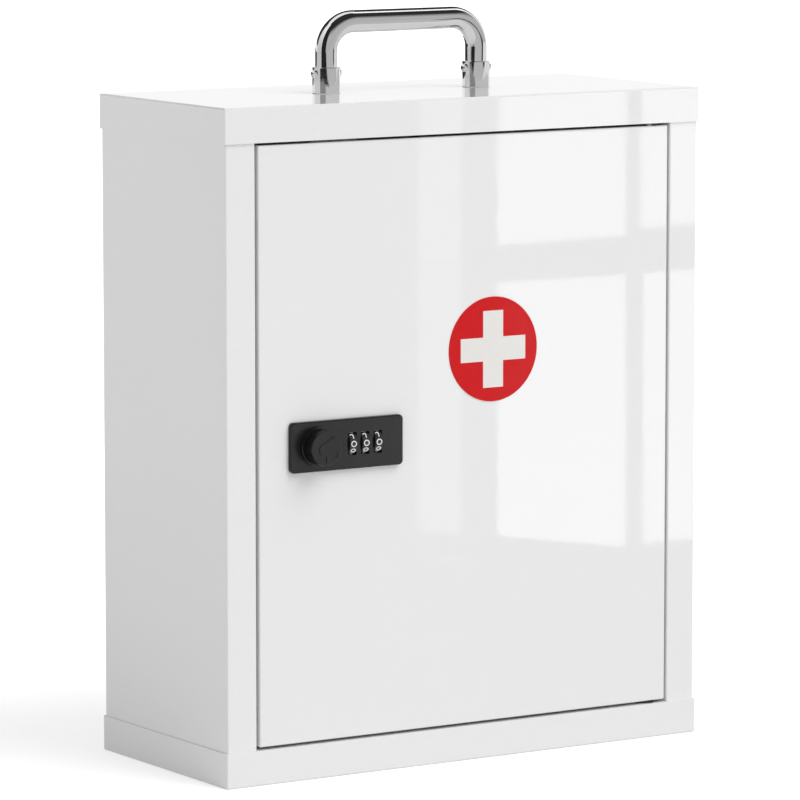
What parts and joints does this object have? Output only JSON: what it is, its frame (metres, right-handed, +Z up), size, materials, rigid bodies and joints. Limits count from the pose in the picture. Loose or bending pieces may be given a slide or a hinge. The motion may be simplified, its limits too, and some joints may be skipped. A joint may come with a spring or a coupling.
{
  "type": "medicine cabinet",
  "caption": "White lockable steel medicine cabinet with a chrome carrying handle, an inset door, shelves inside and a knob lock with number wheels.",
  "frame": {"origin": "on the floor, under the middle of the shell", "axes": "+X to the right along the front, +Y to the back, +Z up; the door is on the -Y side"},
  "size_m": [0.32, 0.151, 0.4268],
  "materials": {
    "white_paint": "gloss powder coat",
    "chrome": "polished",
    "zinc_steel": "zinc plated",
    "black_plastic": "satin",
    "nylon": "moulded",
    "rubber": "matt",
    "brass": "stamped",
    "red_vinyl": "printed film",
    "white_vinyl": "printed film"
  },
  "bodies": {
    "cabinet": {"top_cap": "white_paint", "bottom_tray": "white_paint", "left_side": "white_paint", "right_side": "white_paint", "back_panel": "white_paint", "lower_shelf": "white_paint", "upper_shelf": "white_paint", "shelf_clips": "white_paint", "handle_tube": "chrome", "handle_ferrule_left": "chrome", "handle_ferrule_right": "chrome", "handle_rivets": "chrome", "handle_backing_plate": "zinc_steel", "handle_washers": "zinc_steel", "handle_screws": "zinc_steel", "hinge_bush_upper": "nylon", "hinge_bush_lower": "nylon", "strike_plate": "zinc_steel", "strike_screws": "zinc_steel", "door_stops": "white_paint", "door_bumpers": "rubber"},
    "door": {"door_panel": "white_paint", "door_stiffener": "white_paint", "hinge_bracket_upper": "white_paint", "hinge_bracket_lower": "white_paint", "hinge_pin_upper": "zinc_steel", "hinge_pin_lower": "zinc_steel", "badge_disc": "red_vinyl", "badge_cross": "white_vinyl", "lock_bezel": "black_plastic", "lock_housing": "black_plastic", "lock_back_cover": "black_plastic", "lock_cover_screws": "zinc_steel", "lock_fixing_screws": "zinc_steel", "dial_axle": "zinc_steel", "detent_spring": "zinc_steel"},
    "knob": {"knob": "black_plastic", "spindle": "zinc_steel", "cam": "zinc_steel", "cam_washer": "zinc_steel", "cam_nut": "zinc_steel"},
    "locking_bar": {"locking_bar": "brass"},
    "dial_1": {"dial_wheel_1": "black_plastic"},
    "dial_2": {"dial_wheel_2": "black_plastic"},
    "dial_3": {"dial_wheel_3": "black_plastic"},
    "code_slider": {"code_slider": "black_plastic"}
  },
  "joints": [
    {"name": "door_hinge", "type": "hinge", "parent": "cabinet", "child": "door", "pos_m": [0.1285, -0.064, 0.19], "axis": [0, 0, 1], "range_deg": [0, 120]},
    {"name": "knob_turn", "type": "hinge", "parent": "door", "child": "knob", "pos_m": [-0.1012, -0.06, 0.189], "axis": [0, 1, 0], "range_deg": [0, 90]},
    {"name": "bar_slide", "type": "slide", "parent": "door", "child": "locking_bar", "axis": [-1, 0, 0], "range_m": [0, 0.0019]},
    {"name": "code_slide", "type": "slide", "parent": "door", "child": "code_slider", "axis": [0, 0, 1], "range_m": [0, 0.003]},
    {"name": "dial_1_turn", "type": "hinge", "parent": "door", "child": "dial_1", "pos_m": [-0.0788, -0.0666, 0.189], "axis": [1, 0, 0], "continuous": true},
    {"name": "dial_2_turn", "type": "hinge", "parent": "door", "child": "dial_2", "pos_m": [-0.0704, -0.0666, 0.189], "axis": [1, 0, 0], "continuous": true},
    {"name": "dial_3_turn", "type": "hinge", "parent": "door", "child": "dial_3", "pos_m": [-0.062, -0.0666, 0.189], "axis": [1, 0, 0], "continuous": true}
  ],
  "couplings": [
    {"joint": "bar_slide", "follows": "knob_turn", "m_per_rad": 0.0012095}
  ]
}
